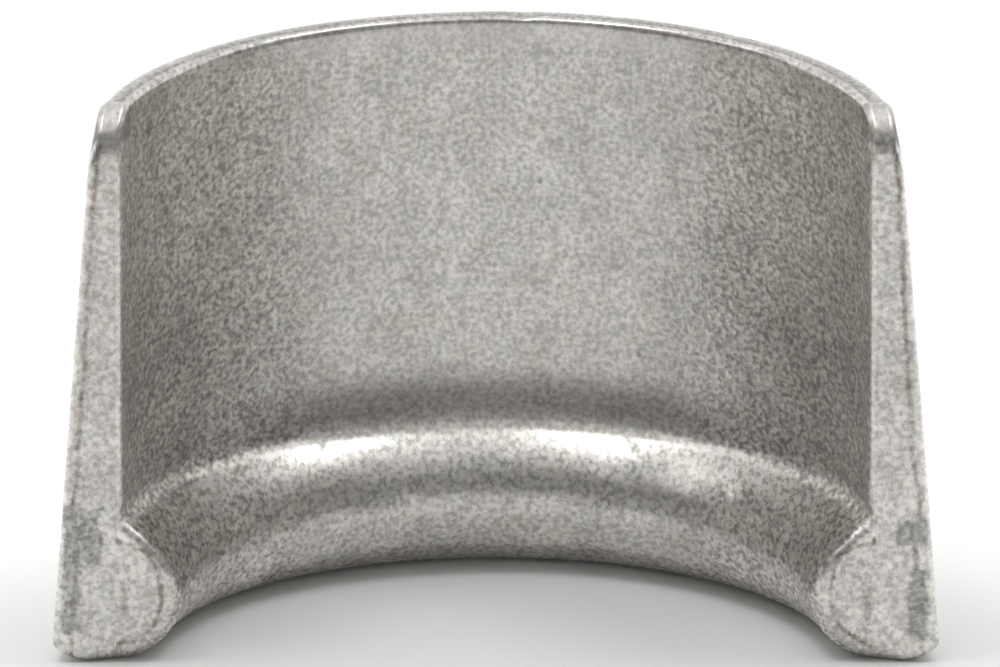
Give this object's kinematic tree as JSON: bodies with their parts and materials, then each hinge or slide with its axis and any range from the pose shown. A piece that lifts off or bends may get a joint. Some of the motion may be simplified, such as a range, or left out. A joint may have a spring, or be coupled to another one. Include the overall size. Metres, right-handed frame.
{
  "type": "valve collet half",
  "caption": "Split half ring with a tapered outside, a straight bore and a round inner bead, which locks an engine valve's stem in its spring retainer.",
  "frame": {"origin": "on the stem's axis, in the plane of the wide end that the half stands on", "axes": "+Z along the stem's axis from the wide end to the narrow end, +Y from the split into the back of the half, +X to the right as seen from the split; the split faces look along -Y"},
  "size_m": [0.0112, 0.0051, 0.0073],
  "materials": {
    "tumbled_steel": "tumbled satin, with fine grain and darker oil stains"
  },
  "bodies": {
    "root": {"collet_half": "tumbled_steel"}
  },
  "joints": []
}
